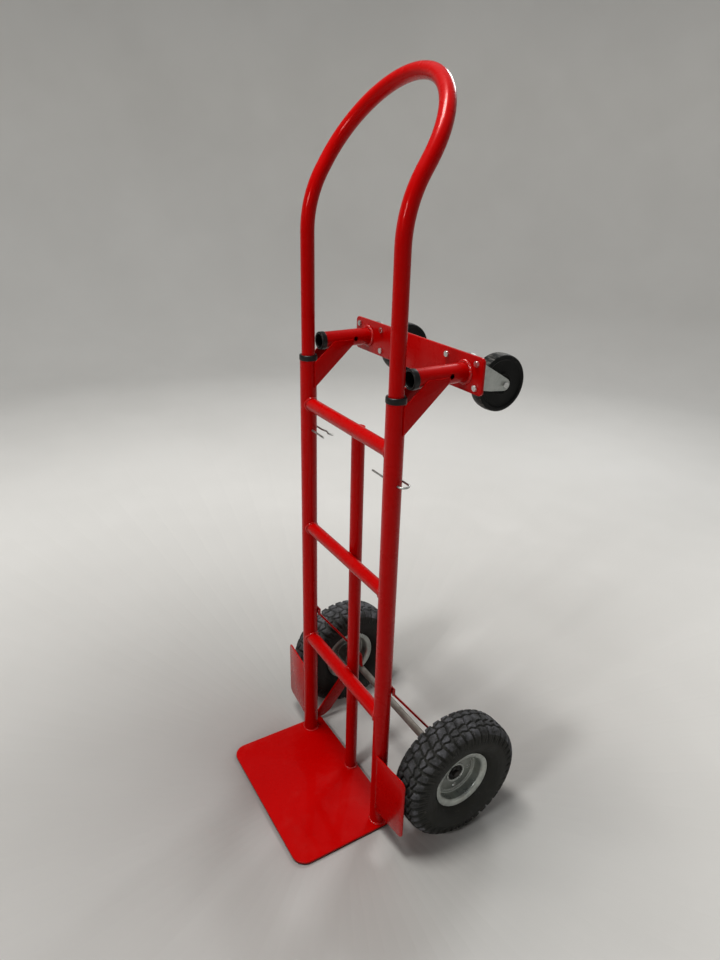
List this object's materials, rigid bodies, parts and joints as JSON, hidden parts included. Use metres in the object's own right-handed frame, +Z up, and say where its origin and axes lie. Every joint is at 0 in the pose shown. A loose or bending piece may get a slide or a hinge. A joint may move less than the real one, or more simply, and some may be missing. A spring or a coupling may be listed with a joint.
{
  "type": "hand truck",
  "caption": "Two-position hand truck with a toe plate, pneumatic wheels, a pull-out loop handle and swivel casters for use as a flat cart.",
  "frame": {"origin": "on the ground under the midpoint between the two upright tubes, in the plane of the toe plate's underside", "axes": "+X to the left of the person pushing it, +Y back from the toe plate towards the wheels, +Z up"},
  "size_m": [0.528, 0.4545, 1.3844],
  "materials": {
    "enamel": "gloss red enamel",
    "zinc": "dull zinc plate",
    "bare_steel": "bare, slightly rusty",
    "rim_paint": "grey satin paint",
    "plastic": "black, satin",
    "tyre": "black, dusty",
    "rubber": "black",
    "caster_rubber": "black with a dusty tread"
  },
  "bodies": {
    "frame": {"toe_plate": "enamel", "bottom_rung": "enamel", "middle_rung": "enamel", "top_rung": "enamel", "centre_tube": "enamel", "axle": "bare_steel", "axle_spacers": "zinc", "axle_washers": "plastic", "cotter_pins": "zinc", "caster_plate": "enamel", "caster_bolts": "zinc", "caster_nuts": "zinc", "kingpins": "zinc", "left_upright": "enamel", "right_upright": "enamel", "left_collar": "plastic", "right_collar": "plastic", "left_wheel_guard": "enamel", "right_wheel_guard": "enamel", "left_axle_strap": "enamel", "right_axle_strap": "enamel", "left_axle_bracket": "enamel", "right_axle_bracket": "enamel", "left_gussets": "enamel", "right_gussets": "enamel", "left_socket": "enamel", "right_socket": "enamel", "left_socket_bush": "plastic", "right_socket_bush": "plastic", "left_caster_mount": "zinc", "right_caster_mount": "zinc"},
    "left_wheel": {"left_tyre": "tyre", "left_inner_tube": "rubber", "left_outer_rim": "rim_paint", "left_inner_rim": "rim_paint", "left_hub": "rim_paint", "left_bearings": "bare_steel", "left_valve_stem": "rubber"},
    "right_wheel": {"right_tyre": "tyre", "right_inner_tube": "rubber", "right_outer_rim": "rim_paint", "right_inner_rim": "rim_paint", "right_hub": "rim_paint", "right_bearings": "bare_steel", "right_valve_stem": "rubber"},
    "handle": {"handle": "enamel"},
    "left_clip": {"left_hitch_clip": "zinc"},
    "right_clip": {"right_hitch_clip": "zinc"},
    "left_caster": {"left_caster_fork": "zinc", "left_ball_race": "bare_steel", "left_caster_axle": "zinc"},
    "left_roller": {"left_caster_wheel": "caster_rubber"},
    "right_caster": {"right_caster_fork": "zinc", "right_ball_race": "bare_steel", "right_caster_axle": "zinc"},
    "right_roller": {"right_caster_wheel": "caster_rubber"}
  },
  "joints": [
    {"name": "left_wheel_spin", "type": "hinge", "parent": "frame", "child": "left_wheel", "pos_m": [0.223, 0.133, 0.13], "axis": [1, 0, 0], "continuous": true},
    {"name": "right_wheel_spin", "type": "hinge", "parent": "frame", "child": "right_wheel", "pos_m": [-0.223, 0.133, 0.13], "axis": [1, 0, 0], "continuous": true},
    {"name": "handle_lift", "type": "slide", "parent": "frame", "child": "handle", "axis": [0, 0, 1], "range_m": [0, 0.2]},
    {"name": "left_clip_pull", "type": "slide", "parent": "frame", "child": "left_clip", "axis": [1, 0, 0], "range_m": [0, 0.085]},
    {"name": "right_clip_pull", "type": "slide", "parent": "frame", "child": "right_clip", "axis": [-1, 0, 0], "range_m": [0, 0.085]},
    {"name": "left_caster_swivel", "type": "hinge", "parent": "frame", "child": "left_caster", "pos_m": [0.141, 0.1365, 0.935], "axis": [0, 1, 0], "continuous": true},
    {"name": "left_caster_roll", "type": "hinge", "parent": "left_caster", "child": "left_roller", "pos_m": [0.141, 0.213, 0.9055], "axis": [1, 0, 0], "continuous": true},
    {"name": "right_caster_swivel", "type": "hinge", "parent": "frame", "child": "right_caster", "pos_m": [-0.141, 0.1365, 0.935], "axis": [0, 1, 0], "continuous": true},
    {"name": "right_caster_roll", "type": "hinge", "parent": "right_caster", "child": "right_roller", "pos_m": [-0.141, 0.213, 0.9055], "axis": [1, 0, 0], "continuous": true}
  ]
}
